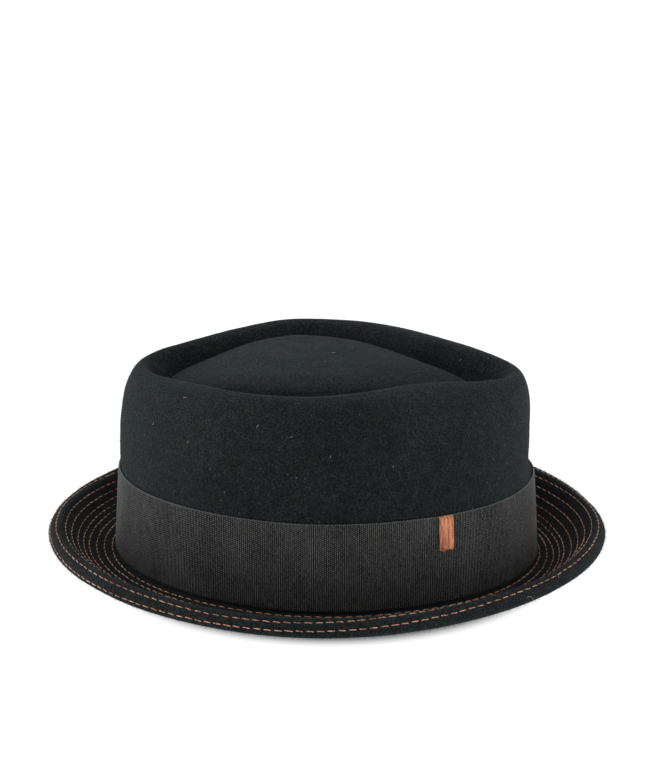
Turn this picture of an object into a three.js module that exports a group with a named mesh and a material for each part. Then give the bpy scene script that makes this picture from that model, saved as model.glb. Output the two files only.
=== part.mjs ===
// Porkpie hat: one blocked felt body (crown and turned-up brim), a grosgrain
// ribbon round the foot of the crown and a small stitched thread tack on it.
// Millimetres, +Z up, front of the hat towards -Y, wearer's right towards -X.
// The origin is on the table, under the middle of the crown.
import * as THREE from 'three';

// Felt and head opening
const feltThickness = 2.5;
const crownLength = 204.6;        // outside of the felt at the brim break
const crownWidth = 171.4;
const crownRise = 92.9;           // valley of the brim to the top of the fold, at the sides
const endLean = 3.3;              // the wall leans in by this, from brim to ribbon top
const sideLean = 2.1;
const tipShift = 12;              // the crown's top is widest this far behind the middle
const ovalPinch = 0.02;           // the oval is this much slimmer on its diagonals

// Brim
const brimFront = 31.4;           // reach of the brim beyond the ribbon
const brimSide = 34.2;
const brimBack = 31.6;
const curlFront = 16.9;           // height of the curl above the valley
const curlRight = 12;
const curlBack = 13.6;
const curlLeft = 19.6;
const endRoll = 4.6;              // depth of the rolled outer edge below the curl
const sideRoll = 5.2;
const brimDip = 1.9;              // the valley is lower at the front and back by this
const breakRise = 0.9;            // height of the rounding where wall meets brim
const restShare = 0.1;            // share of the turn, front and back, that lies flat

// Ribbon
const ribbonWidth = 40;
const ribbonThickness = 0.9;
const ribbonLift = 1;             // ribbon's lower edge above the valley
const lapLength = 26;             // doubled stretch at the closing, wearer's left
const lapEdge = 0.4;              // length over which the lap steps up

// Thread tack at the ribbon's top edge, wearer's right, towards the front
const tackWidth = 7.2;
const tackHeight = 16;
const tackThickness = 0.8;
const tackPlace = 63;             // from the middle of the hat towards the front
const tackInset = 0.6;            // below the ribbon's top edge

const clearance = 0.3;            // between neighbouring pieces
const feltTurns = 72;             // steps round the hat
const tackColumns = 4;

function table(columns, rows) {
  return rows.map((row) => Object.fromEntries(columns.map((name, i) => [name, row[i]])));
}

// Crown above the ribbon: up the wall, over the fold, down into the gutter and on to
// the dome. front, back: shares of half the crown's length; side: of half its width.
// pinchFront, pinchBack: how far the plan is pulled in on the diagonals. sideRise,
// endRise: shares of the rise from ribbon edge to fold. hold: how far round to the
// front the side's height is kept. shift: share of tipShift.
const crownRows = table(
  ['front', 'back', 'side', 'pinchFront', 'pinchBack', 'sideRise', 'endRise', 'hold', 'shift'],
  [
    [0.986, 1.002, 0.994, 0.020, 0.018, 0.050, 0.050, 2.0, 0.00],
    [0.984, 0.998, 0.992, 0.024, 0.020, 0.330, 0.310, 2.0, 0.05],
    [0.980, 0.983, 0.983, 0.038, 0.026, 0.600, 0.570, 2.5, 0.15],
    [0.969, 0.961, 0.961, 0.064, 0.042, 0.800, 0.735, 3.5, 0.30],
    [0.953, 0.938, 0.926, 0.096, 0.064, 0.910, 0.825, 4.5, 0.50],
    [0.933, 0.914, 0.882, 0.130, 0.092, 0.975, 0.878, 5.5, 0.75],
    [0.904, 0.886, 0.825, 0.165, 0.118, 1.000, 0.901, 6.0, 1.00],
    [0.872, 0.862, 0.778, 0.175, 0.128, 0.975, 0.878, 6.0, 1.00],
    [0.842, 0.842, 0.738, 0.180, 0.132, 0.890, 0.800, 5.0, 1.05],
    [0.818, 0.824, 0.710, 0.180, 0.135, 0.780, 0.700, 4.0, 1.10],
    [0.785, 0.802, 0.672, 0.175, 0.130, 0.710, 0.660, 3.0, 1.15],
    [0.745, 0.782, 0.624, 0.155, 0.110, 0.780, 0.680, 2.5, 1.25],
    [0.700, 0.750, 0.562, 0.130, 0.085, 0.915, 0.742, 2.5, 1.33],
    [0.580, 0.620, 0.445, 0.100, 0.060, 0.985, 0.840, 2.5, 1.33],
    [0.350, 0.380, 0.250, 0.050, 0.030, 1.010, 0.960, 2.5, 1.33],
  ]);
const domeTop = { rise: 1.018, shift: 1.33 };

// Brim from the ribbon out to the top of its curl. out: share of the way there.
// up: share of the curl's height.
const brimRows = table(['out', 'up'], [
  [0.08, 0.00],
  [0.23, 0.00],
  [0.32, 0.00],
  [0.45, 0.09],
  [0.58, 0.27],
  [0.71, 0.53],
  [0.83, 0.80],
  [0.93, 0.965],
]);

// Rolled edge, from the top of the curl down its outside. inset: from the outermost
// line, and down: below the curl's top, both as shares of the roll's depth.
const rollRows = table(['inset', 'down'], [
  [1.00, 0.00],
  [0.72, 0.10],
  [0.44, 0.28],
  [0.18, 0.56],
  [0.02, 0.86],
  [0.04, 1.08],
]);

const halfLength = crownLength / 2;
const halfWidth = crownWidth / 2;
const ribbonTop = ribbonLift + ribbonWidth;
const ribbonDepth = clearance + ribbonThickness;
const crownTop = feltThickness + brimDip + crownRise;

function mix(a, b, share) {
  return a + (b - a) * share;
}

// Value at a turn from its values at the sides and at the nearer end.
function around(turn, side, front, back, hold = 2) {
  const c = Math.cos(turn);
  return c > 0 ? mix(side, front, c ** hold) : mix(side, back, c * c);
}

// Height of the brim's valley on the felt's upper side. It lies level at the front
// and back, where the hat rests, and swells up towards the sides.
function valley(turn) {
  const share = Math.max(0, (Math.sin(turn) ** 2 - restShare) / (1 - restShare));
  return feltThickness + brimDip * share * share * (3 - 2 * share);
}

// A point of a plan that is an oval with its own front, back and pinch.
// Turn 0 is the front, a quarter turn the wearer's right.
function planPoint(turn, { front, back, side, pinchFront, pinchBack, shift }, height) {
  const ahead = Math.cos(turn) > 0;
  const pull = 1 - (ahead ? pinchFront : pinchBack) * Math.sin(2 * turn) ** 2;
  const reach = ahead ? front + shift : back - shift;
  const x = -side * Math.sin(turn) * pull;
  return new THREE.Vector3(x, shift - reach * Math.cos(turn) * pull, height);
}

function ovalPoint(turn, length, width, height) {
  const plan = { front: length, back: length, side: width, shift: 0 };
  return planPoint(turn, { ...plan, pinchFront: ovalPinch, pinchBack: ovalPinch }, height);
}

// The crown's wall from the brim break up to the ribbon's top edge is straight.
function wallPoint(turn, aboveValley, outward) {
  const share = aboveValley / ribbonTop;
  const length = halfLength - endLean * share + outward;
  const width = halfWidth - sideLean * share + outward;
  return ovalPoint(turn, length, width, valley(turn) + aboveValley);
}

function crownPoint(row, turn) {
  const plan = {
    ...row,
    front: (halfLength - endLean) * row.front,
    back: (halfLength - endLean) * row.back,
    side: (halfWidth - sideLean) * row.side,
    shift: tipShift * row.shift,
  };
  const rise = around(turn, row.sideRise, row.endRise, row.endRise, row.hold);
  return planPoint(turn, plan, mix(valley(turn) + ribbonTop, crownTop, rise));
}

function brimPlace(turn, outward, height) {
  return ovalPoint(turn, halfLength + outward, halfWidth + outward, height);
}

function brimReach(turn) {
  return around(turn, brimSide, brimFront, brimBack) + ribbonDepth;
}

function curlTop(turn) {
  const curlSide = Math.sin(turn) > 0 ? curlRight : curlLeft;
  return valley(turn) + around(turn, curlSide, curlFront, curlBack);
}

function rollDepth(turn) {
  return around(turn, sideRoll, endRoll, endRoll);
}

function brimPoint(row, turn) {
  const height = mix(valley(turn), curlTop(turn), row.up);
  return brimPlace(turn, (brimReach(turn) - rollDepth(turn)) * row.out, height);
}

function rollPoint(row, turn) {
  const outward = brimReach(turn) - rollDepth(turn) * row.inset;
  return brimPlace(turn, outward, curlTop(turn) - rollDepth(turn) * row.down);
}

// Rings of the felt's upper side, from the rolled edge in to the dome.
function feltRings(turns) {
  const makers = [
    ...rollRows.toReversed().map((row) => (turn) => rollPoint(row, turn)),
    ...brimRows.toReversed().map((row) => (turn) => brimPoint(row, turn)),
    (turn) => wallPoint(turn, 0, breakRise),
    (turn) => wallPoint(turn, breakRise, 0),
    (turn) => wallPoint(turn, ribbonTop, 0),
    ...crownRows.map((row) => (turn) => crownPoint(row, turn)),
  ];
  return makers.map((maker) => turns.map(maker));
}

function direction(from, to) {
  return to.clone().sub(from).normalize();
}

// Outward unit normal at each point of the rings, from its four neighbours.
function ringNormals(rings, pole) {
  return rings.map((ring, i) => ring.map((point, j) => {
    const next = ring[(j + 1) % ring.length];
    const last = ring[(j + ring.length - 1) % ring.length];
    const inner = i + 1 < rings.length ? rings[i + 1][j] : pole;
    const inward = direction(point, inner);
    if (i > 0) inward.add(direction(rings[i - 1][j], point));
    return inward.cross(direction(last, next)).normalize();
  }));
}

// Joins rings of equal length in their order, closing round the turn.
function stitchRings(rings, firstIndex, faces) {
  const count = rings[0].length;
  for (let i = 0; i + 1 < rings.length; i += 1) {
    for (let j = 0; j < count; j += 1) {
      const a = firstIndex + i * count + j;
      const b = firstIndex + i * count + (j + 1) % count;
      faces.push(a, b, b + count, a, b + count, a + count);
    }
  }
}

function bodyGeometry(points, faces) {
  const geometry = new THREE.BufferGeometry();
  const places = new Float32Array(points.flatMap((point) => point.toArray()));
  geometry.setAttribute('position', new THREE.BufferAttribute(places, 3));
  geometry.setIndex(faces);
  geometry.computeVertexNormals();
  return geometry;
}

function evenTurns() {
  return Array.from({ length: feltTurns }, (_, j) => 2 * Math.PI * j / feltTurns);
}

// Upper side from the dome out to the edge, under side back from the edge to the dome.
function feltGeometry() {
  const upper = feltRings(evenTurns());
  const domeHeight = mix(valley(0) + ribbonTop, crownTop, domeTop.rise);
  const upperPole = new THREE.Vector3(0, tipShift * domeTop.shift, domeHeight);
  const normals = ringNormals(upper, upperPole);
  const under = upper.map((ring, i) => ring.map(
    (point, j) => point.clone().addScaledVector(normals[i][j], -feltThickness)));
  const underPole = upperPole.clone();
  underPole.z -= feltThickness;

  const loops = [...upper.toReversed(), ...under];
  const points = [upperPole, ...loops.flat(), underPole];
  const lastRing = 1 + (loops.length - 1) * feltTurns;
  const faces = [];
  stitchRings(loops, 1, faces);
  for (let j = 0; j < feltTurns; j += 1) {
    const k = (j + 1) % feltTurns;
    faces.push(0, 1 + k, 1 + j);
    faces.push(points.length - 1, lastRing + j, lastRing + k);
  }
  return bodyGeometry(points, faces);
}

// The ribbon has four extra turns, where the lap steps up and down.
const lapMiddle = 1.5 * Math.PI;
const lapHalf = lapLength / 2 / halfLength;
const lapStep = lapEdge / halfLength;

function ribbonTurns() {
  const steps = [-lapHalf - lapStep, -lapHalf, lapHalf, lapHalf + lapStep];
  const extra = steps.map((step) => lapMiddle + step);
  const apart = (turn) => extra.every((other) => Math.abs(turn - other) > lapStep);
  return [...evenTurns().filter(apart), ...extra].sort((a, b) => a - b);
}

function ribbonOutside(turn) {
  const lapped = Math.abs(turn - lapMiddle) < lapHalf + lapStep / 2;
  return ribbonDepth + (lapped ? ribbonThickness : 0);
}

// A point off the faceted wall at any turn, so that the ribbon keeps clear of it.
function facetPoint(turn, aboveValley, outward) {
  const step = 2 * Math.PI / feltTurns;
  const index = Math.round(turn / step);
  const near = Math.abs(turn / step - index) < 1e-6 ? index : Math.floor(turn / step);
  const from = wallPoint(near * step, aboveValley, outward);
  const to = wallPoint((near + 1) * step, aboveValley, outward);
  return from.lerp(to, turn / step - near);
}

function ribbonGeometry() {
  const turns = ribbonTurns();
  const rings = [
    turns.map((turn) => facetPoint(turn, ribbonTop, clearance)),
    turns.map((turn) => facetPoint(turn, ribbonTop, ribbonOutside(turn))),
    turns.map((turn) => facetPoint(turn, ribbonLift, ribbonOutside(turn))),
    turns.map((turn) => facetPoint(turn, ribbonLift, clearance)),
  ];
  const faces = [];
  stitchRings([...rings, rings[0]], 0, faces);
  const count = rings.flat().length;
  return bodyGeometry(rings.flat(), faces.map((index) => index % count));
}

// A slightly crowned pad of thread that follows the ribbon's outside.
function tackGeometry() {
  const middle = Math.acos(tackPlace / halfLength);
  const half = tackWidth / 2 / halfWidth;
  const top = ribbonTop - tackInset;
  const base = ribbonDepth + clearance;
  const rings = [];
  for (let i = 0; i <= tackColumns; i += 1) {
    const share = i / tackColumns;
    const turn = middle + mix(-half, half, share);
    const crown = tackThickness * mix(0.45, 1, Math.sin(Math.PI * share));
    rings.push([
      wallPoint(turn, top - tackHeight, base + crown),
      wallPoint(turn, top, base + crown),
      wallPoint(turn, top, base),
      wallPoint(turn, top - tackHeight, base),
    ]);
  }
  const faces = [];
  stitchRings(rings, 0, faces);
  const last = rings[0].length * tackColumns;
  faces.push(0, 3, 2, 0, 2, 1, last, last + 1, last + 2, last, last + 2, last + 3);
  return bodyGeometry(rings.flat(), faces);
}

function namedMesh(name, geometry, color, roughness) {
  const material = new THREE.MeshStandardMaterial({ color, roughness, metalness: 0 });
  const mesh = new THREE.Mesh(geometry, material);
  mesh.name = name;
  return mesh;
}

const hat = new THREE.Group();
hat.add(namedMesh('felt_body', feltGeometry(), 0x23292a, 0.95));
hat.add(namedMesh('ribbon', ribbonGeometry(), 0x37393a, 0.75));
hat.add(namedMesh('thread_tack', tackGeometry(), 0xd98c62, 0.6));

export default hat;
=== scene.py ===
import math
import bpy
import numpy as np
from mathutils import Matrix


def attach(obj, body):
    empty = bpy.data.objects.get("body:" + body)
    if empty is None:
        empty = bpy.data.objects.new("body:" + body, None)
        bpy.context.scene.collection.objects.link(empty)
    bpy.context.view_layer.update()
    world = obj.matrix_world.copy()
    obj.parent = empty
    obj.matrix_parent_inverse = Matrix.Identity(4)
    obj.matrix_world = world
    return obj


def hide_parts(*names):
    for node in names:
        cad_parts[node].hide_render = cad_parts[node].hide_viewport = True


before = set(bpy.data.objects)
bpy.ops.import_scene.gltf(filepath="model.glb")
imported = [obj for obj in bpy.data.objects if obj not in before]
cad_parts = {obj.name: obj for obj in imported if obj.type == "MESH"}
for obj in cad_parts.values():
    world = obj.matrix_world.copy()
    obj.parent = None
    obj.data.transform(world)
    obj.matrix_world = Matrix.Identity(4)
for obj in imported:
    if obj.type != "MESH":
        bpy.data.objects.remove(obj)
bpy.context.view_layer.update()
print("frame loaded:", ", ".join(sorted(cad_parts)))


def mix(a, b, share):
    return a + (b - a) * share


def smoothStep(share):
    share = np.clip(share, 0, 1)
    return share * share * (3 - 2 * share)


def unit(vectors):
    return vectors / np.maximum(np.linalg.norm(vectors, axis=-1, keepdims=True), 1e-9)


# smooth random swell of the given wavelength in mm, about -1 to 1
def ripple(points, length, seed, waves=14):
    dice = np.random.default_rng(seed)
    ways = unit(dice.normal(size=(waves, 3))) * 2 * math.pi / length
    ways *= dice.uniform(0.7, 1.4, size=(waves, 1))
    return np.sin(points @ ways.T + dice.uniform(0, 6.3, waves)).sum(-1) / math.sqrt(waves)


# points come in mm; marks are named numbers, one for each point, that a material reads
def makePiece(name, points, faces, material, marks=None):
    mesh = bpy.data.meshes.new(name)
    mesh.from_pydata((points.reshape(-1, 3) / 1000).tolist(), [], faces)
    mesh.update()
    mesh.shade_smooth()
    mesh.materials.append(material)
    for mark, values in (marks or {}).items():
        mesh.attributes.new(mark, "FLOAT", "POINT").data.foreach_set("value", values.ravel().astype(np.float32))
    piece = bpy.data.objects.new(name, mesh)
    bpy.context.scene.collection.objects.link(piece)
    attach(piece, "root")
    mesh.calc_loop_triangles()
    print(f"{name}: {len(mesh.loop_triangles)} triangles")
    return piece


# quads that join a grid of points, row by row
def gridFaces(rows, columns, first=0, wrapRows=False, wrapColumns=True):
    i = np.arange(rows if wrapRows else rows - 1)[:, None]
    j = np.arange(columns if wrapColumns else columns - 1)[None, :]
    i2, j2 = (i + 1) % rows, (j + 1) % columns
    quads = np.stack([i * columns + j, i * columns + j2, i2 * columns + j2, i2 * columns + j], -1)
    return (quads.reshape(-1, 4) + first).tolist()


class Wire:                                     # a node's output that takes part in sums
    def __init__(self, paint, socket):
        self.paint, self.socket = paint, socket

    def sum(self, operation, left, right):
        return self.paint.node("ShaderNodeMath", {"operation": operation}, {0: left, 1: right})

    def __add__(self, other): return self.sum("ADD", self, other)
    def __radd__(self, other): return self.sum("ADD", other, self)
    def __sub__(self, other): return self.sum("SUBTRACT", self, other)
    def __rsub__(self, other): return self.sum("SUBTRACT", other, self)
    def __mul__(self, other): return self.sum("MULTIPLY", self, other)
    def __rmul__(self, other): return self.sum("MULTIPLY", other, self)


class Paint:                                    # a material, or the sky, while it is being made
    def __init__(self, owner):
        owner.use_nodes = True
        self.owner, self.tree = owner, owner.node_tree
        self.tree.nodes.clear()

    def node(self, kind, settings=None, inputs=None, output=0):
        made = self.tree.nodes.new(kind)
        for key, value in (settings or {}).items():
            if key == "stops":
                stops = made.color_ramp.elements
                while len(stops) < len(value):
                    stops.new(1.0)
                for stop, (place, colour) in zip(stops, value):
                    stop.position, stop.color = place, colour
            else:
                setattr(made, key, value)
        for key, value in (inputs or {}).items():
            if isinstance(value, Wire):
                self.tree.links.new(value.socket, made.inputs[key])
            else:
                made.inputs[key].default_value = value
        return Wire(self, made.outputs[output]) if made.outputs else None

    def place(self, stretch=(1, 1, 1)):
        there = self.node("ShaderNodeTexCoord", output="Object")
        return self.node("ShaderNodeVectorMath", {"operation": "MULTIPLY"}, {0: there, 1: stretch})

    def part(self, vector, axis):
        return self.node("ShaderNodeSeparateXYZ", {}, {0: vector}, output=axis)

    def mark(self, name):
        return self.node("ShaderNodeAttribute", {"attribute_name": name}, output="Fac")

    def noise(self, vector, perMetre, detail=2.0, rough=0.5):
        return self.node("ShaderNodeTexNoise", {}, {"Vector": vector, "Scale": perMetre,
                                                    "Detail": detail, "Roughness": rough})

    def cells(self, vector, perMetre):
        return self.node("ShaderNodeTexVoronoi", {"feature": "F1"}, {"Vector": vector, "Scale": perMetre})

    def ramp(self, wire, low, high, start=0.0, end=1.0):
        return self.node("ShaderNodeMapRange", {"interpolation_type": "SMOOTHSTEP"},
                         {0: wire, 1: low, 2: high, 3: start, 4: end})

    def blend(self, share, first, second, kind="MIX"):
        return self.node("ShaderNodeMix", {"data_type": "RGBA", "blend_type": kind},
                         {0: share, 6: first, 7: second}, output=2)

    def bump(self, height, strength, distance):
        return self.node("ShaderNodeBump", {}, {"Height": height, "Strength": strength, "Distance": distance})

    def finish(self, **inputs):
        named = {key.replace("_", " "): value for key, value in inputs.items()}
        shader = self.node("ShaderNodeBsdfPrincipled", {}, named)
        self.node("ShaderNodeOutputMaterial", {}, {"Surface": shader})
        return self.owner


view = {"place": (-0.64556, -0.07571, 0.27774), "tilt": 73.147, "heading": -83.262, "lens": 66.22}

lens = bpy.data.cameras.new("photoView")
lens.lens = view["lens"]
lens.sensor_width = 36
lens.clip_start = 0.01
cam = bpy.data.objects.new("photoView", lens)
cam.location = view["place"]
cam.rotation_euler = (math.radians(view["tilt"]), 0, math.radians(view["heading"]))
bpy.context.scene.collection.objects.link(cam)
bpy.context.scene.camera = cam
bpy.context.scene.view_settings.view_transform = "Standard"

studio = {
    "skyFar": 1.0,                              # behind the hat
    "skyNear": 0.54,                            # on the camera's side
    "skyTop": 0.36,                             # share that is left overhead
    "skyTurn": (-0.75, 0.25),                   # from the near tone to the far one, along x
    "skyClimb": (0.10, 0.70),                   # and up to the one overhead, along z
    "groundReach": 25,                          # metres
    "groundShade": 0.12,
    "groundMottle": 0.005,
    "groundGlow": 1.0,                          # the paper is lit from below, so shadows stay faint
    "blocked": (0.0985, 0.1070),                # half sizes in metres of the oval of painted shadow, where the ground's glow is painted darker under the hat
    "blockedEdge": (0.985, 1.105),              # shares of them between which it fades
    "blockedGlow": 0.05,
    "groundDrop": 0.20,                         # mm below the felt, room for the threads under the brim
    "lamps": [                                  # name, place, aims at, size, watts
        ("topSoftbox", (0.25, 0.0, 1.5), (0, 0, 0.05), 1.2, 6.4),
        ("backSoftbox", (0.0, 1.3, 0.55), (0, 0, 0.06), 1.0, 8.5),
        ("frontSoftbox", (0.0, -1.3, 0.5), (0, 0, 0.06), 1.0, 4.9),
    ],
}


def addLamp(name, place, aim, size, watts):
    lamp = bpy.data.lights.new(name, "AREA")
    lamp.shape, lamp.size, lamp.energy = "SQUARE", size, watts
    holder = bpy.data.objects.new(name, lamp)
    holder.location = place
    way = np.array(aim) - np.array(place)
    flat = math.hypot(way[0], way[1])
    holder.rotation_euler = (math.atan2(flat, -way[2]), 0, math.atan2(-way[0], way[1]))
    bpy.context.scene.collection.objects.link(holder)


for lamp in studio["lamps"]:
    addLamp(*lamp)

sky = Paint(bpy.data.worlds.new("studioWhite"))
skyWay = sky.node("ShaderNodeTexCoord", output="Generated")
skyGlow = sky.ramp(sky.part(skyWay, "X"), *studio["skyTurn"], studio["skyNear"], studio["skyFar"])
skyGlow = skyGlow * sky.ramp(sky.part(skyWay, "Z"), *studio["skyClimb"], 1.0, studio["skyTop"])
skyShader = sky.node("ShaderNodeBackground", {}, {"Color": (1, 1, 1, 1), "Strength": skyGlow})
sky.node("ShaderNodeOutputWorld", {}, {"Surface": skyShader})
bpy.context.scene.world = sky.owner

paper = Paint(bpy.data.materials.new("whiteGround"))
paperTone = paper.ramp(paper.noise(paper.place(), 3, 2), 0.3, 0.7,
                       studio["groundShade"] - studio["groundMottle"], studio["groundShade"])
paperShade = paper.node("ShaderNodeCombineColor", {}, {0: paperTone, 1: paperTone, 2: paperTone})
flatPlace = paper.place((1 / studio["blocked"][0], 1 / studio["blocked"][1], 0))
fromMiddle = paper.node("ShaderNodeVectorMath", {"operation": "LENGTH"}, {0: flatPlace}, output="Value")
# painted shadow: the ground's glow is darkened inside an oval under the hat, standing in for its contact shadow
glowUnderPaintedShadow = paper.ramp(fromMiddle, *studio["blockedEdge"], studio["blockedGlow"], 1.0)
glowColourUnderPaintedShadow = paper.node("ShaderNodeCombineColor", {}, {0: glowUnderPaintedShadow, 1: glowUnderPaintedShadow, 2: glowUnderPaintedShadow})
whiteGround = paper.finish(Base_Color=paperShade, Roughness=0.9, Specular_IOR_Level=0.1,
                           Emission_Color=glowColourUnderPaintedShadow, Emission_Strength=studio["groundGlow"])

groundMesh = bpy.data.meshes.new("ground")
far, drop = studio["groundReach"], -studio["groundDrop"] / 1000
groundMesh.from_pydata([(-far, -far, drop), (far, -far, drop), (far, far, drop), (-far, far, drop)],
                       [], [(0, 1, 2, 3)])
groundMesh.materials.append(whiteGround)
ground = bpy.data.objects.new("ground", groundMesh)
bpy.context.scene.collection.objects.link(ground)
print("camera, lamps and ground placed")


# the hat's form, as the part's source has it, in millimetres
form = {
    "feltThickness": 2.5, "crownLength": 204.6, "crownWidth": 171.4, "crownRise": 92.9,
    "endLean": 3.3, "sideLean": 2.1, "tipShift": 12.0, "ovalPinch": 0.02,
    "brimFront": 31.4, "brimSide": 34.2, "brimBack": 31.6,
    "curlFront": 16.9, "curlRight": 12.0, "curlBack": 13.6, "curlLeft": 19.6,
    "endRoll": 4.6, "sideRoll": 5.2, "brimDip": 1.9, "breakRise": 0.9, "restShare": 0.1,
    "ribbonWidth": 40.0, "ribbonThickness": 0.9, "ribbonLift": 1.0, "clearance": 0.3,
    # front, back, side, pinchFront, pinchBack, sideRise, endRise, hold, shift
    "crownRows": [
        (0.986, 1.002, 0.994, 0.020, 0.018, 0.050, 0.050, 2.0, 0.00),
        (0.984, 0.998, 0.992, 0.024, 0.020, 0.330, 0.310, 2.0, 0.05),
        (0.980, 0.983, 0.983, 0.038, 0.026, 0.600, 0.570, 2.5, 0.15),
        (0.969, 0.961, 0.961, 0.064, 0.042, 0.800, 0.735, 3.5, 0.30),
        (0.953, 0.938, 0.926, 0.096, 0.064, 0.910, 0.825, 4.5, 0.50),
        (0.933, 0.914, 0.882, 0.130, 0.092, 0.975, 0.878, 5.5, 0.75),
        (0.904, 0.886, 0.825, 0.165, 0.118, 1.000, 0.901, 6.0, 1.00),
        (0.872, 0.862, 0.778, 0.175, 0.128, 0.975, 0.878, 6.0, 1.00),
        (0.842, 0.842, 0.738, 0.180, 0.132, 0.890, 0.800, 5.0, 1.05),
        (0.818, 0.824, 0.710, 0.180, 0.135, 0.780, 0.700, 4.0, 1.10),
        (0.785, 0.802, 0.672, 0.175, 0.130, 0.710, 0.660, 3.0, 1.15),
        (0.745, 0.782, 0.624, 0.155, 0.110, 0.780, 0.680, 2.5, 1.25),
        (0.700, 0.750, 0.562, 0.130, 0.085, 0.915, 0.742, 2.5, 1.33),
        (0.580, 0.620, 0.445, 0.100, 0.060, 0.985, 0.840, 2.5, 1.33),
        (0.350, 0.380, 0.250, 0.050, 0.030, 1.010, 0.960, 2.5, 1.33),
    ],
    "domeRise": 1.018, "domeShift": 1.33,
    # out, up
    "brimRows": [(0.08, 0.00), (0.23, 0.00), (0.32, 0.00), (0.45, 0.09), (0.58, 0.27), (0.71, 0.53),
                 (0.83, 0.80), (0.93, 0.965)],
    # inset, down
    "rollRows": [(1.00, 0.00), (0.72, 0.10), (0.44, 0.28), (0.18, 0.56), (0.02, 0.86), (0.04, 1.08)],
}
halfLength, halfWidth = form["crownLength"] / 2, form["crownWidth"] / 2
ribbonTop = form["ribbonLift"] + form["ribbonWidth"]
ribbonDepth = form["clearance"] + form["ribbonThickness"]
crownTop = form["feltThickness"] + form["brimDip"] + form["crownRise"]


# turn 0 is the hat's front, a quarter turn the wearer's right
def around(turn, side, front, back, hold=2.0):
    c = np.cos(turn)
    return np.where(c > 0, mix(side, front, np.abs(c) ** hold), mix(side, back, c * c))


def valley(turn):
    share = (np.sin(turn) ** 2 - form["restShare"]) / (1 - form["restShare"])
    return form["feltThickness"] + form["brimDip"] * smoothStep(share)


def planPoint(turn, front, back, side, pinchFront, pinchBack, shift, height):
    ahead = np.cos(turn) > 0
    pull = 1 - np.where(ahead, pinchFront, pinchBack) * np.sin(2 * turn) ** 2
    far = np.where(ahead, front + shift, back - shift)
    return np.stack([-side * np.sin(turn) * pull, shift - far * np.cos(turn) * pull, height + 0 * turn], -1)


def ovalPoint(turn, length, width, height):
    return planPoint(turn, length, length, width, form["ovalPinch"], form["ovalPinch"], 0, height)


def wallPoint(turn, aboveValley, outward):
    share = aboveValley / ribbonTop
    length = halfLength - form["endLean"] * share + outward
    width = halfWidth - form["sideLean"] * share + outward
    return ovalPoint(turn, length, width, valley(turn) + aboveValley)


def crownPoint(row, turn):
    front, back, side, pinchFront, pinchBack, sideRise, endRise, hold, shift = row
    long, wide = halfLength - form["endLean"], halfWidth - form["sideLean"]
    rise = around(turn, sideRise, endRise, endRise, hold)
    height = mix(valley(turn) + ribbonTop, crownTop, rise)
    return planPoint(turn, long * front, long * back, wide * side, pinchFront, pinchBack,
                     form["tipShift"] * shift, height)


def brimReach(turn):
    return around(turn, form["brimSide"], form["brimFront"], form["brimBack"]) + ribbonDepth


def brimPlace(turn, outward, height):
    return ovalPoint(turn, halfLength + outward, halfWidth + outward, height)


def rollDepth(turn):
    return around(turn, form["sideRoll"], form["endRoll"], form["endRoll"])


def curlHeight(turn):
    side = np.where(np.sin(turn) > 0, form["curlRight"], form["curlLeft"])
    return around(turn, side, form["curlFront"], form["curlBack"])


def brimPoint(row, turn):
    outward = (brimReach(turn) - rollDepth(turn)) * row[0]
    return brimPlace(turn, outward, valley(turn) + curlHeight(turn) * row[1])


def rollPoint(row, turn):
    depth = rollDepth(turn)
    return brimPlace(turn, brimReach(turn) - depth * row[0], valley(turn) + curlHeight(turn) - depth * row[1])


# rings of the felt's upper side, from the rolled edge in to the dome
def feltLines(turn):
    lines = [rollPoint(row, turn) for row in reversed(form["rollRows"])]
    lines += [brimPoint(row, turn) for row in reversed(form["brimRows"])]
    lines += [wallPoint(turn, 0, form["breakRise"]), wallPoint(turn, form["breakRise"], 0),
              wallPoint(turn, ribbonTop, 0)]
    lines += [crownPoint(row, turn) for row in form["crownRows"]]
    return np.stack(lines)


domeHeight = mix(form["feltThickness"] + ribbonTop, crownTop, form["domeRise"])
domePole = np.array([0, form["tipShift"] * form["domeShift"], domeHeight])


# rings on a smooth curve through the given ones and over the pole
def smoothRings(rings, pole, counts):
    half = rings.shape[1] // 2
    poleRing = np.broadcast_to(pole, (1,) + rings.shape[1:])
    line = np.concatenate([rings, poleRing, np.roll(rings[-1:], half, axis=1)])
    gap = np.diff(line, axis=0)
    step = np.linalg.norm(gap, axis=2, keepdims=True).mean(axis=1, keepdims=True)
    slope = gap / step
    middle = (slope[:-1] * step[1:] + slope[1:] * step[:-1]) / (step[1:] + step[:-1])
    way = np.concatenate([slope[:1], middle])
    pull = np.concatenate([step[:1], np.minimum(step[1:], step[:-1])])
    fine = []
    for i, count in enumerate(counts):
        for t in np.arange(count) / count:
            fine.append(line[i] * (1 + 2 * t) * (1 - t) ** 2 + way[i] * pull[i] * t * (1 - t) ** 2
                        + line[i + 1] * t * t * (3 - 2 * t) + way[i + 1] * pull[i + 1] * t * t * (t - 1))
    return np.stack(fine)


def ringNormals(rings, pole):
    along = np.roll(rings, -1, axis=1) - np.roll(rings, 1, axis=1)
    closed = np.concatenate([rings, np.broadcast_to(pole, (1,) + rings.shape[1:])])
    inward = np.empty_like(rings)
    inward[1:] = closed[2:] - rings[:-1]
    inward[0] = rings[1] - rings[0]
    return unit(np.cross(inward, along)), unit(inward)


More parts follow.
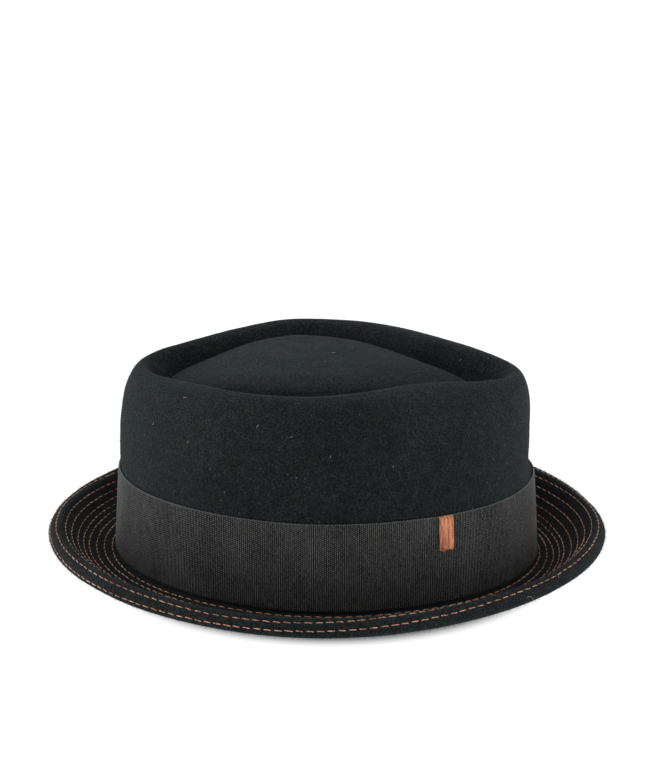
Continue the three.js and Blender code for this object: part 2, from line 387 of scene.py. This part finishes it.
felt = {
    "turns": 320,
    # rings between the form's lines: roll, brim, then wall and crown
    "rollCounts": [3, 3, 3, 3, 3, 5],
    "brimCounts": [6, 6, 6, 6, 6, 6, 6, 2],
    "crownCounts": [2, 8, 2, 10, 10, 8, 6, 5, 5, 4, 5, 5, 5, 5, 7, 7, 9, 10],
    "swell": 0.24,                              # mm of slow unevenness in the pressed felt
    "swellLengths": (46, 17),
    "underSwell": 0.12,
    "underSwellLength": 30,
    "channelDepth": 0.42,                       # mm that a stitched row sinks
    "underChannel": 0.18,
    "channelWidth": 1.0,
    "restHeight": 4,                            # mm up to which the resting brim stays even
    "restFade": 20,                             # mm more until it swells in full
    "edgeSteps": 5,
    "edgeFullness": 0.8,
    # how fine each layer of the wool's look is, per metre, with the fields where specks and dust gather
    "grain": {"cloud": 24, "warmth": 75, "patch": 240, "tuft": 1350, "fine": 2400,
              "speck": 230, "speckField": 47, "dust": 480, "dustField": 80},
    "deepShade": (0.0066, 0.0084, 0.0088, 1),
    "midShade": (0.0165, 0.0208, 0.0218, 1),
    "liftedShade": (0.0360, 0.0450, 0.0470, 1),
    "cloudTint": (0.70, 0.74, 0.76, 1),
    "warmTint": (1.12, 0.98, 0.91, 1),
    "dustShade": (0.20, 0.205, 0.19, 1),
    "paintedCurlShadeTint": (0.52, 0.48, 0.47, 1),       # painted shade: the felt inside the brim's curl is painted darker
}

# places of the ten stitched rows: mm along the brim from the foot of the crown, at the
# front, front right, right, back right, back, back left, left and front left
stitchRows = [
    (1.2, 1.4, 1.9, 2.6, 1.5, 1.7, 1.8, 1.4),
    (4.7, 5.7, 6.2, 5.8, 5.6, 5.6, 5.3, 4.2),
    (7.7, 9.1, 10.1, 9.4, 9.2, 9.3, 8.9, 7.2),
    (10.6, 12.2, 14.0, 13.3, 12.9, 12.7, 12.7, 10.9),
    (12.9, 15.0, 17.9, 17.0, 15.8, 15.5, 16.3, 14.4),
    (17.4, 19.5, 21.9, 20.9, 19.1, 18.4, 19.6, 17.6),
    (22.0, 24.0, 25.9, 24.8, 23.3, 21.9, 23.4, 21.5),
    (27.0, 27.2, 29.0, 28.4, 27.4, 25.6, 27.6, 25.6),
    (31.8, 29.7, 34.9, 33.7, 32.6, 29.8, 31.8, 30.2),
    (35.6, 35.0, 38.8, 38.3, 37.1, 37.6, 37.6, 34.8),
]


# smooth closed curve through evenly spaced values
def roundTurn(values, turn):
    values = np.asarray(values)
    place = turn / (2 * math.pi) * len(values)
    i = np.floor(place).astype(int)
    t = place - i
    a, b, c, d = (values[(i + k) % len(values)] for k in (-1, 0, 1, 2))
    return b + 0.5 * t * (c - a + t * (2 * a - 5 * b + 4 * c - d + t * (3 * (b - c) + d - a)))


turns = np.arange(felt["turns"]) * 2 * math.pi / felt["turns"]
upper = smoothRings(feltLines(turns), domePole, felt["rollCounts"] + felt["brimCounts"] + felt["crownCounts"])
upNormals, upInward = ringNormals(upper, domePole)
rollRing = sum(felt["rollCounts"])                           # ring at the top of the curl
footRing = rollRing + sum(felt["brimCounts"])                # ring at the foot of the crown
ribbonRing = footRing + sum(felt["crownCounts"][:2])         # ring at the ribbon's top edge
brimArc = np.zeros(upper.shape[:2])                          # mm along the brim from the foot ring
gaps = np.linalg.norm(np.diff(upper[:footRing + 1], axis=0), axis=2)
brimArc[:footRing] = np.cumsum(gaps[::-1], axis=0)[::-1]


# 1 on a stitched row, 0 away from it
def rowDip(arc, width):
    dip = np.zeros_like(arc)
    for row in stitchRows:
        dip = np.maximum(dip, np.exp(-((arc - roundTurn(row, turns)) / width) ** 2))
    return dip * (arc > 0)


# 0 on the resting brim, 1 higher up
def offRest(points):
    return smoothStep((points[..., 2] - felt["restHeight"]) / felt["restFade"])


longSwell, shortSwell = felt["swellLengths"]
rise = felt["swell"] * (0.7 * ripple(upper, longSwell, 3) + 0.3 * ripple(upper, shortSwell, 4))
calm = mix(0.25, 1, offRest(upper))
lift = rise * calm - rowDip(brimArc, felt["channelWidth"]) * felt["channelDepth"]
upperSkin = upper + upNormals * lift[..., None]
under = (upper - upNormals * form["feltThickness"])[::2]
underNormals = -upNormals[::2]
rise = felt["underSwell"] * ripple(under, felt["underSwellLength"], 8) * offRest(under)
lift = rise - rowDip(brimArc[::2], felt["channelWidth"]) * felt["underChannel"]
underSkin = under + underNormals * lift[..., None]
underSkin[..., 2] = np.maximum(underSkin[..., 2], 0)

edgeMiddle = (upperSkin[0] + underSkin[0]) / 2
edgeHalf = upperSkin[0] - edgeMiddle
edgeOut = -upInward[0] * np.linalg.norm(edgeHalf, axis=-1, keepdims=True)
edgeAngles = np.pi * np.arange(1, felt["edgeSteps"] + 1) / (felt["edgeSteps"] + 1)
edge = np.stack([edgeMiddle + edgeHalf * math.cos(a) + edgeOut * math.sin(a) * felt["edgeFullness"]
                 for a in edgeAngles])

loops = np.concatenate([upperSkin[::-1], edge, underSkin])
underPole = domePole - [0, 0, form["feltThickness"]]
feltPoints = np.concatenate([[domePole], loops.reshape(-1, 3), [underPole]])
feltFaces = gridFaces(len(loops), felt["turns"], first=1)
lastRing = 1 + (len(loops) - 1) * felt["turns"]
for j in range(felt["turns"]):
    k = (j + 1) % felt["turns"]
    feltFaces.append((0, 1 + k, 1 + j))
    feltFaces.append((len(feltPoints) - 1, lastRing + j, lastRing + k))

# 1 on the brim inside its curl, where the felt is painted darker as shade
ringNumber = np.arange(len(upper))
pressed = smoothStep((ringNumber - rollRing + 1) / 6) * (ringNumber <= footRing)
pressed = np.concatenate([pressed[::-1], np.zeros(len(loops) - len(upper))])
pressed = np.concatenate([[0], np.repeat(pressed, felt["turns"]), [0]])

wool = Paint(bpy.data.materials.new("pressedFelt"))
place = wool.place()
grain = felt["grain"]
cloud = wool.noise(place, grain["cloud"], 3, 0.6)
patch = wool.noise(place, grain["patch"], 3, 0.6)
tuft = wool.noise(place, grain["tuft"], 3, 0.6)
fine = wool.noise(place, grain["fine"], 2, 0.6)
woolDepth = wool.ramp(tuft * 0.62 + fine * 0.22 + patch * 0.16, 0.37, 0.65)
woolShade = wool.node("ShaderNodeValToRGB", {"stops": [
    (0.0, felt["deepShade"]), (0.5, felt["midShade"]), (1.0, felt["liftedShade"])]}, {0: woolDepth})
woolShade = wool.blend(wool.ramp(cloud, 0.30, 0.70), woolShade, felt["cloudTint"], "MULTIPLY")
warmth = wool.ramp(wool.noise(place, grain["warmth"], 3, 0.65), 0.46, 0.66)
woolShade = wool.blend(warmth, woolShade, felt["warmTint"], "MULTIPLY")
# painted shade over the brim inside its curl
woolShade = wool.blend(wool.mark("pressed"), woolShade, felt["paintedCurlShadeTint"], "MULTIPLY")
speck = 1 - wool.ramp(wool.cells(place, grain["speck"]), 0.05, 0.12)
speck = speck * wool.ramp(wool.noise(place, grain["speckField"], 2, 0.6), 0.47, 0.60)
dust = 1 - wool.ramp(wool.cells(place, grain["dust"]), 0.05, 0.15)
dust = dust * wool.ramp(wool.noise(place, grain["dustField"], 2, 0.6), 0.45, 0.62)
woolShade = wool.blend(speck * 0.5 + dust * 0.25, woolShade, felt["dustShade"])
pressedFelt = wool.finish(
    Base_Color=woolShade, Roughness=0.97, Specular_IOR_Level=0.12,
    Sheen_Weight=0.06, Sheen_Roughness=0.5, Sheen_Tint=(0.55, 0.72, 0.76, 1),
    Normal=wool.bump(tuft * 0.8 + fine * 0.3 + patch * 0.6, 0.9, 0.0008))

feltBody = makePiece("feltBody", feltPoints, feltFaces, pressedFelt, {"pressed": pressed})
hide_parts("felt_body")


nap = {
    "strands": 49000,
    "length": (0.40, 1.00),                     # mm
    "flankLength": 2.2,                         # times as long on the rolled edge and under it
    "flankShare": 3.0,                          # times as many there
    "underRings": 26,                           # how many of the underside's rings it covers
    "lowest": 1.2,                              # mm; under the edge no root is lower than this
    "width": 0.105,
    "rootDepth": 0.05,
    "offGround": 0.05,
    "lean": (0.35, 1.25),                       # radians away from straight up
    "grain": 700,
    "shades": ((0.020, 0.024, 0.025, 1), (0.110, 0.128, 0.130, 1)),
}

# little closed spikes of wool that stand off the felt, none of them under the ribbon
dice = np.random.default_rng(51)
skinNormals = np.concatenate([upNormals[::-1], unit(edge - edgeMiddle), underNormals])
closed = np.concatenate([loops, loops[:, :1]], axis=1)
closedNormals = np.concatenate([skinNormals, skinNormals[:, :1]], axis=1)
deep = np.linalg.norm(closed[1:, :-1] - closed[:-1, :-1], axis=2)
wide = np.linalg.norm(closed[:-1, 1:] - closed[:-1, :-1], axis=2)
chance = deep * wide
upperRings = len(upper)
flank = upperRings - 1 - rollRing                            # ring from which the rolled edge goes on
chance[flank:] *= nap["flankShare"]
chance[upperRings - 2 - ribbonRing:upperRings + 2 - footRing] = 0
chance[upperRings + felt["edgeSteps"] + nap["underRings"]:] = 0
chance[flank:][closed[flank:-1, :-1, 2] < nap["lowest"]] = 0
pick = dice.choice(chance.size, nap["strands"], p=chance.ravel() / chance.sum())
i, j = np.divmod(pick, chance.shape[1])
s, t = dice.uniform(0, 1, (2, nap["strands"], 1))


def withinQuad(grid):
    return mix(mix(grid[i, j], grid[i, j + 1], t), mix(grid[i + 1, j], grid[i + 1, j + 1], t), s)


napRoot, napUp = withinQuad(closed), unit(withinQuad(closedNormals))
sideways = unit(np.cross(napUp, dice.normal(size=napUp.shape)))
lean = dice.uniform(*nap["lean"], (nap["strands"], 1))
napWay = napUp * np.cos(lean) + sideways * np.sin(lean)
napLength = dice.uniform(*nap["length"], (nap["strands"], 1))
napLength = napLength * np.where(i >= flank, nap["flankLength"], 1)[:, None]
napAcross = unit(np.cross(napWay, napUp))
napDeep = np.cross(napWay, napAcross)
napBase = napRoot - napUp * nap["rootDepth"]
corners = [napBase + (napAcross * math.cos(a) + napDeep * math.sin(a)) * nap["width"] / 2
           for a in (0, 2.0944, 4.1888)]
napPoints = np.stack(corners + [napBase + napWay * napLength], axis=1)
napPoints[..., 2] = np.maximum(napPoints[..., 2], nap["offGround"])
spike = np.array([(0, 1, 3), (1, 2, 3), (2, 0, 3), (2, 1, 0)])
napFaces = (np.arange(nap["strands"])[:, None, None] * 4 + spike).reshape(-1, 3).tolist()

wisp = Paint(bpy.data.materials.new("woolNap"))
wispShare = wisp.ramp(wisp.noise(wisp.place(), nap["grain"], 2, 0.6), 0.35, 0.68)
woolNap = wisp.finish(Base_Color=wisp.blend(wispShare, *nap["shades"]), Roughness=0.9, Specular_IOR_Level=0.2)
makePiece("woolNap", napPoints, napFaces, woolNap)


ribbon = {
    "arcSteps": 1440,
    "ribPitch": 0.90,                           # mm from rib to rib
    "ribUnevenness": 0.10,                      # share of the pitch by which ribs stray
    "ribDepth": 0.32,
    "ribSharpness": 1.2,
    "columnsPerRib": 5,
    "lapLength": 26.0,
    "lapLift": 1.02,                            # the lap stands off the layer under it
    "lapRun": 6.0,                              # length over which it climbs there
    "hem": 0.35,                                # extra thickness of the folded end
    "hemLength": 6.0,
    "hemFade": 0.8,
    "selvedge": 0.55,                           # mm over which the edge thins
    "selvedgeShare": 0.45,                      # share of the thickness at the very edge
    "ribsFrom": (0.15, 0.45),                   # mm from the edge between which the ribs begin
    "rows": [0.0, 0.004, 0.011, 0.03, 0.10, 0.22, 0.36, 0.50, 0.64, 0.78, 0.90, 0.97, 0.989, 0.996, 1.0],
    "wave": 0.10,                               # mm that the band wavers in and out
    "swayIn": 0.15,                             # mm that the band may dip at most
    "grain": {"slub": 1000, "blotch": 60, "bead": 1300, "dust": 260, "dustField": 60},
    "dotTurns": 6900,                           # radians of the dots' pattern in a metre of height
    "deepShade": (0.0185, 0.0195, 0.0195, 1),
    "midShade": (0.0680, 0.0705, 0.0700, 1),
    "raisedShade": (0.2050, 0.2100, 0.2060, 1),
    "paintedGrooveShade": (0.0016, 0.0017, 0.0018, 1),
    "selvedgeTint": (0.075, 0.076, 0.074, 1),
    "dustShade": (0.26, 0.26, 0.245, 1),
}

thickTurns = np.linspace(0, 2 * math.pi, ribbon["arcSteps"] + 1)
ribbonLine = wallPoint(thickTurns, ribbonTop / 2, ribbonDepth)
ribbonArc = np.concatenate([[0], np.cumsum(np.linalg.norm(np.diff(ribbonLine, axis=0), axis=1))])
ribbonRound = ribbonArc[-1]                     # length once round
lapStart = np.interp(1.5 * math.pi, thickTurns, ribbonArc) - ribbon["lapLength"] / 2
ribs = round((ribbonRound + ribbon["lapLength"]) / ribbon["ribPitch"])
columns = ribs * ribbon["columnsPerRib"] + 1
run = np.linspace(0, ribbonRound + ribbon["lapLength"], columns)
ribbonTurn = np.interp((run + lapStart) % ribbonRound, ribbonArc, thickTurns)
climb = smoothStep((run - ribbonRound + ribbon["lapRun"]) / ribbon["lapRun"]) * ribbon["lapLift"]
hem = smoothStep((run - run[-1] + ribbon["hemLength"]) / ribbon["hemFade"]) * ribbon["hem"]
stray = ribbon["ribUnevenness"] * ripple(np.stack([run, 0 * run, 0 * run], -1), 14, 5)
ribPhase = run / ribbon["ribPitch"] + stray
ribShape = np.abs(np.sin(math.pi * ribPhase)) ** ribbon["ribSharpness"]


def ribbonRow(share):
    height = form["ribbonLift"] + form["ribbonWidth"] * share
    toEdge = min(share, 1 - share) * form["ribbonWidth"]
    thinning = float(smoothStep(toEdge / ribbon["selvedge"]))
    begin, full = ribbon["ribsFrom"]
    ribbed = float(smoothStep((toEdge - begin) / (full - begin)))
    body = form["ribbonThickness"] * mix(ribbon["selvedgeShare"], 1, thinning) + hem
    relief = ribbon["ribDepth"] * (ribShape - 1) * ribbed
    points = wallPoint(ribbonTurn, height, form["clearance"] + climb + body + relief)
    return points, mix(1, ribShape, ribbed), np.full(columns, 1 - ribbed)


outerRows = [ribbonRow(share) for share in ribbon["rows"]]
innerRows = [wallPoint(ribbonTurn, form["ribbonLift"] + form["ribbonWidth"] * share, form["clearance"] + climb)
             for share in (1.0, 0.5, 0.0)]
bandPoints = np.stack([row[0] for row in outerRows] + innerRows)
bandRib = np.stack([row[1] for row in outerRows] + [np.ones(columns)] * 3)
bandEdge = np.stack([row[2] for row in outerRows] + [np.zeros(columns)] * 3)
bandCount = np.broadcast_to(ribPhase, bandRib.shape)
sway = ribbon["wave"] * ripple(bandPoints * [1, 1, 0.3], 60, 21) * smoothStep(bandPoints[..., 2] / 20)
bandPoints = bandPoints + unit(bandPoints * [1, 1, 0]) * np.maximum(sway, -ribbon["swayIn"])[..., None]
rowsInBand = len(bandPoints)
bandFaces = [face[::-1] for face in gridFaces(rowsInBand, columns, wrapRows=True, wrapColumns=False)]
bandFaces.append([i * columns for i in range(rowsInBand)])
bandFaces.append([i * columns + columns - 1 for i in reversed(range(rowsInBand))])

rep = Paint(bpy.data.materials.new("grosgrain"))
place = rep.place()
grain = ribbon["grain"]
slub = rep.noise(rep.place((1, 1, 0.10)), grain["slub"], 2, 0.6)               # runs up the ribs
blotch = rep.noise(rep.place((1, 1, 0.6)), grain["blotch"], 3, 0.6)
bead = rep.noise(place, grain["bead"], 2, 0.6)
upTheBand = rep.part(place, 2)
# the filling threads look dotted, with the dots of neighbouring ribs staggered
dots = rep.node("ShaderNodeMath", {"operation": "SINE"},
                {0: upTheBand * ribbon["dotTurns"] + rep.mark("ribCount") * math.pi})
paintedFootLight = rep.ramp(upTheBand, 0.004, 0.034, 0.08, 0.0)                           # painted light: paler towards the foot, where the brim's curl shades the band
repShare = rep.ramp(bead * 0.60 + slub * 0.16 + blotch * 0.24 + dots * 0.12 + paintedFootLight, 0.36, 0.66)
repShade = rep.node("ShaderNodeValToRGB", {"stops": [
    (0.0, ribbon["deepShade"]), (0.5, ribbon["midShade"]), (1.0, ribbon["raisedShade"])]}, {0: repShare})
# painted shade: the grooves between the ribs are painted almost black
paintedGrooveShare = rep.ramp(rep.mark("rib"), 0.42, 0.98)
repShade = rep.blend(paintedGrooveShare, rep.blend(0.98, repShade, ribbon["paintedGrooveShade"]), repShade)
repShade = rep.blend(rep.mark("selvedge") * 0.6, repShade, ribbon["selvedgeTint"])
dust = 1 - rep.ramp(rep.cells(place, grain["dust"]), 0.05, 0.11)
dust = dust * rep.ramp(rep.noise(place, grain["dustField"], 2, 0.6), 0.52, 0.64)
repShade = rep.blend(dust * 0.7, repShade, ribbon["dustShade"])
grosgrain = rep.finish(
    Base_Color=repShade, Roughness=rep.ramp(bead, 0.2, 0.8, 0.48, 0.66), Specular_IOR_Level=0.20,
    Sheen_Weight=0.03, Sheen_Roughness=0.4, Sheen_Tint=(0.9, 0.9, 0.88, 1),
    Normal=rep.bump(bead * 0.7 + slub * 0.4, 0.5, 0.00018))

ribbonBand = makePiece("ribbonBand", bandPoints, bandFaces, grosgrain,
                       {"rib": bandRib, "selvedge": bandEdge, "ribCount": bandCount})
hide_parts("ribbon")


# round tubes of points; centres and normals are pieces x rings x 3
def threadPoints(centres, normals, radius, sides, ends=(0.35, 0.8)):
    along = np.gradient(centres, axis=1)
    across = unit(np.cross(along, normals))
    upward = unit(np.cross(across, along))
    taper = np.ones(centres.shape[1])
    taper[0] = taper[-1] = ends[0]
    taper[1] = taper[-2] = ends[1]
    angle = 2 * math.pi * np.arange(sides) / sides
    spoke = across[:, :, None] * np.cos(angle)[:, None] + upward[:, :, None] * np.sin(angle)[:, None]
    return centres[:, :, None] + spoke * taper[None, :, None, None] * radius


def threadFaces(pieces, rings, sides):
    one = gridFaces(rings, sides)
    one.append(tuple(reversed(range(sides))))
    one.append(tuple((rings - 1) * sides + k for k in range(sides)))
    faces = []
    for i in range(pieces):
        first = i * rings * sides
        faces.extend([tuple(first + k for k in face) for face in one])
    return faces


stitch = {
    "pitch": 4.4,                               # mm from hole to hole
    "cover": 0.91,                              # share of the pitch that the thread lies on top
    "radius": 0.22,
    "slant": 0.06,
    "rings": 7,
    "sides": 7,
    "lift": np.array([-0.36, 0.03, 0.13, 0.16, 0.13, 0.03, -0.36]),
    "underSink": 0.10,                          # mm deeper on the underside
    "grain": {"twist": 1300, "fading": 70, "relief": 1700},
    "deepShade": (0.20, 0.062, 0.034, 1),
    "midShade": (0.58, 0.26, 0.165, 1),
    "brightShade": (0.92, 0.53, 0.38, 1),
}


# a stitched row's line on the felt, with the felt's normal
def rowLine(row, rings, normals, arc, step):
    want = roundTurn(row, turns)
    line = np.empty((felt["turns"], 3))
    facing = np.empty((felt["turns"], 3))
    for j in range(felt["turns"]):
        known = arc[:footRing // step + 1, j][::-1]
        for axis in range(3):
            line[j, axis] = np.interp(want[j], known, rings[:len(known), j, axis][::-1])
            facing[j, axis] = np.interp(want[j], known, normals[:len(known), j, axis][::-1])
    return line, unit(facing)


def rowStitches(line, facing, seed, phase, lift):
    dice = np.random.default_rng(seed)
    closed = np.concatenate([line, line[:1]])
    length = np.concatenate([[0], np.cumsum(np.linalg.norm(np.diff(closed, axis=0), axis=1))])
    number = round(length[-1] / stitch["pitch"])
    pitch = length[-1] / number
    share = np.linspace(-0.5, 0.5, stitch["rings"])[None] * stitch["cover"]
    share = share * (1 + dice.normal(0, 0.05, (number, 1)))
    middle = np.arange(number)[:, None] + 0.5 + phase + dice.normal(0, 0.03, (number, 1))
    at = ((middle + share) * pitch) % length[-1]
    centre = np.stack([np.interp(at, length, closed[:, axis]) for axis in range(3)], -1)
    ring = np.concatenate([facing, facing[:1]])
    normal = unit(np.stack([np.interp(at, length, ring[:, axis]) for axis in range(3)], -1))
    across = unit(np.cross(np.gradient(centre, axis=1), normal))
    slant = (stitch["slant"] + dice.normal(0, 0.04, (number, 1))) * share * pitch
    slant = slant + dice.normal(0, 0.05, (number, 1))
    return centre + normal * lift[None, :, None] + across * slant[..., None], normal


upRuns, underRuns = [], []
for number, row in enumerate(stitchRows):
    line, facing = rowLine(row, upperSkin, upNormals, brimArc, 1)
    upRuns.append(rowStitches(line, facing, 100 + number, 0.0, stitch["lift"]))
    line, facing = rowLine(row, underSkin, underNormals, brimArc[::2], 2)
    underRuns.append(rowStitches(line, facing, 200 + number, 0.5, stitch["lift"] - stitch["underSink"]))

silk = Paint(bpy.data.materials.new("copperThread"))
place = silk.place()
grain = stitch["grain"]
twist = silk.noise(place, grain["twist"], 2, 0.6)
fading = silk.noise(place, grain["fading"], 2, 0.5)
silkShare = silk.ramp(twist * 0.65 + fading * 0.35, 0.38, 0.60)
silkShade = silk.node("ShaderNodeValToRGB", {"stops": [
    (0.0, stitch["deepShade"]), (0.45, stitch["midShade"]), (1.0, stitch["brightShade"])]}, {0: silkShare})
copperThread = silk.finish(
    Base_Color=silkShade, Roughness=0.45, Specular_IOR_Level=0.45,
    Sheen_Weight=0.2, Sheen_Roughness=0.35, Sheen_Tint=(1.0, 0.82, 0.70, 1),
    Normal=silk.bump(silk.noise(place, grain["relief"], 2, 0.6), 0.4, 0.0001))


def stitchPiece(name, runs):
    centres = np.concatenate([centre for centre, _ in runs])
    normals = np.concatenate([normal for _, normal in runs])
    points = threadPoints(centres, normals, stitch["radius"], stitch["sides"])
    faces = threadFaces(len(centres), stitch["rings"], stitch["sides"])
    makePiece(name, points, faces, copperThread)


stitchPiece("brimStitches", upRuns)
stitchPiece("underStitches", underRuns)


tack = {
    "width": 7.0, "height": 16.0, "place": 63.0, "inset": 0.1,
    "threads": 15, "radius": 0.33, "rings": 15, "sides": 8,
    "spread": 0.06,                             # mm that threads stray sideways
    "looseTop": 0.05, "looseFoot": 0.28,        # mm that their ends differ
    "wander": (0.10, 0.05),                     # mm that they bow and lean
    "sunk": 0.25,                               # mm that their ends go into the ribbon
    "rise": 0.42, "arch": 0.10,
    "sideReach": 1.05,                          # times the half width, that a turn moves them by
    "second": {"lift": 0.24, "shorten": 0.5},   # the layer on top, with two threads fewer
    "grain": {"lengthwise": 1700, "strip": 520},
    "shades": ((0.50, 0.135, 0.055, 1), (1.0, 0.47, 0.25, 1)),
}
tackTurn = math.acos(tack["place"] / halfLength)


# one layer of the satin threads that lie upright over the ribbon's top edge
def tackThreads(number, lift, shorten, seed):
    dice = np.random.default_rng(seed)
    x = np.linspace(-0.5, 0.5, number) * (tack["width"] - 2 * tack["radius"])
    x = x + dice.normal(0, tack["spread"], number)
    top = ribbonTop - tack["inset"] + dice.normal(0, tack["looseTop"], number)
    bottom = ribbonTop - tack["inset"] - tack["height"] + shorten + dice.normal(0, tack["looseFoot"], number)
    share = np.linspace(0, 1, tack["rings"])[None]
    height = mix(bottom[:, None], top[:, None], share)
    bow, slope = tack["wander"]
    wander = dice.normal(0, bow, (number, 1)) * np.sin(math.pi * share)
    wander = wander + dice.normal(0, slope, (number, 1)) * share
    turn = tackTurn + (x[:, None] + wander) / (halfWidth * tack["sideReach"])
    bulge = smoothStep(share / 0.08) * smoothStep((1 - share) / 0.06)
    arch = tack["arch"] * np.sin(math.pi * share)
    line = wallPoint(turn, height, ribbonDepth - tack["sunk"] + (tack["rise"] + lift) * bulge + arch)
    return line, unit(line * [1, 1, 0])


first = tackThreads(tack["threads"], 0.0, 0.0, 31)
second = tackThreads(tack["threads"] - 2, tack["second"]["lift"], tack["second"]["shorten"], 32)
tackCentres = np.concatenate([first[0], second[0]])
tackNormals = np.concatenate([first[1], second[1]])
tackPoints = threadPoints(tackCentres, tackNormals, tack["radius"], tack["sides"], (0.5, 0.85))

floss = Paint(bpy.data.materials.new("peachFloss"))
lengthwise = floss.noise(floss.place((1, 1, 0.08)), tack["grain"]["lengthwise"], 2, 0.6)
strip = floss.noise(floss.place((1, 1, 0.05)), tack["grain"]["strip"], 2, 0.6)
flossShade = floss.blend(floss.ramp(lengthwise * 0.55 + strip * 0.45, 0.41, 0.59), *tack["shades"])
peachFloss = floss.finish(
    Base_Color=flossShade, Roughness=0.40, Specular_IOR_Level=0.5,
    Sheen_Weight=0.2, Sheen_Roughness=0.35, Sheen_Tint=(1.0, 0.80, 0.65, 1),
    Normal=floss.bump(lengthwise, 0.5, 0.00012))
satinTack = makePiece("satinTack", tackPoints, threadFaces(len(tackCentres), tack["rings"], tack["sides"]),
                      peachFloss)
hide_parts("thread_tack")


# short dark stitches that hold the ribbon to the crown: degrees round, mm above the valley, slant
holding = {
    "stitches": [(139.3, 25.3, 0.3), (55.0, 28.3, -0.2), (222.0, 26.0, 0.2), (318.0, 27.0, -0.3),
                 (270.0, 38.5, 0.1)],
    "length": 2.6, "radius": 0.22, "rings": 7, "sides": 7,
    "rise": 0.28, "sunk": 0.12,
    "lap": (270, 10),                           # degrees round of the ribbon's lap, and half its stretch
    "grain": 1500,
    "shades": ((0.004, 0.004, 0.004, 1), (0.016, 0.016, 0.016, 1)),
}
share = np.linspace(-0.5, 0.5, holding["rings"])
runs = []
for degrees, height, slant in holding["stitches"]:
    turn = math.radians(degrees) + share * slant * holding["length"] / halfWidth
    onLap = ribbon["lapLift"] if abs(degrees - holding["lap"][0]) < holding["lap"][1] else 0
    bulge = holding["rise"] * np.cos(math.pi * share) ** 0.5
    runs.append(wallPoint(turn, height + share * holding["length"],
                          ribbonDepth + onLap + bulge - holding["sunk"]))
runs = np.stack(runs)
holdingPoints = threadPoints(runs, unit(runs * [1, 1, 0]), holding["radius"], holding["sides"])
dark = Paint(bpy.data.materials.new("darkThread"))
darkThread = dark.finish(
    Base_Color=dark.blend(dark.noise(dark.place(), holding["grain"]), *holding["shades"]),
    Roughness=0.5, Specular_IOR_Level=0.4)
makePiece("holdingStitches", holdingPoints, threadFaces(len(runs), holding["rings"], holding["sides"]),
          darkThread)


# pale wool curls that cling to the felt: place in mm, length, bend, direction in degrees
lint = {
    "curls": [((-79.5, -97.2, 14.7), 5.2, 2.4, 20), ((-62.1, -110.3, 17.1), 2.6, 1.4, 100),
              ((-78.6, 20.2, 86.8), 2.2, 1.6, 60), ((-57.5, 55.3, 91.4), 2.4, -1.8, 150),
              ((1.4, -2.6, 97.7), 2.0, 1.2, 10), ((70.0, 40.0, 80.0), 2.6, 1.6, 80),
              ((-82.0, 60.0, 78.0), 1.6, 2.0, 40), ((-84.0, 45.0, 66.0), 1.4, -1.6, 120),
              ((-83.0, 5.0, 84.0), 1.3, 1.2, 5), ((-84.0, -12.0, 76.0), 1.2, -1.4, 80),
              ((-60.0, 78.0, 80.0), 1.5, 1.8, 60), ((-80.0, -40.0, 70.0), 1.3, 1.5, 140),
              ((20.0, -60.0, 92.0), 1.5, 1.3, 30), ((85.0, 0.0, 70.0), 1.6, 1.5, 70),
              ((60.0, -70.0, 75.0), 1.4, -1.5, 20)],
    "radius": 0.065, "rings": 12, "sides": 6,
    "offFelt": 0.30, "endsUp": 0.5, "wriggle": 0.1,
    "grain": 900,
    "shades": ((0.30, 0.29, 0.26, 1), (0.62, 0.60, 0.54, 1)),
}
share = np.linspace(-0.5, 0.5, lint["rings"])
allPlaces, allNormals = upperSkin.reshape(-1, 3), upNormals.reshape(-1, 3)
curls, curlNormals = [], []
for spot, length, bend, degrees in lint["curls"]:
    near = np.argmin(np.linalg.norm(allPlaces - spot, axis=1))
    up = allNormals[near]
    ahead = unit(np.cross(up, [math.cos(math.radians(degrees)), math.sin(math.radians(degrees)), 0.3]))
    aside = np.cross(up, ahead)
    angle = share * bend
    along, away = np.sin(angle) / bend * length, (1 - np.cos(angle)) / bend * length
    rise = lint["offFelt"] + lint["endsUp"] * share ** 2 + lint["wriggle"] * np.sin(9 * share)
    curls.append(allPlaces[near] + along[:, None] * ahead + away[:, None] * aside + up * rise[:, None])
    curlNormals.append(np.broadcast_to(up, (lint["rings"], 3)))
lintPoints = threadPoints(np.stack(curls), np.stack(curlNormals), lint["radius"], lint["sides"], (0.4, 0.8))
pale = Paint(bpy.data.materials.new("paleWool"))
paleWool = pale.finish(
    Base_Color=pale.blend(pale.noise(pale.place(), lint["grain"]), *lint["shades"]),
    Roughness=0.85, Specular_IOR_Level=0.25)
makePiece("lintCurls", lintPoints, threadFaces(len(curls), lint["rings"], lint["sides"]), paleWool)
print("threads and lint placed")
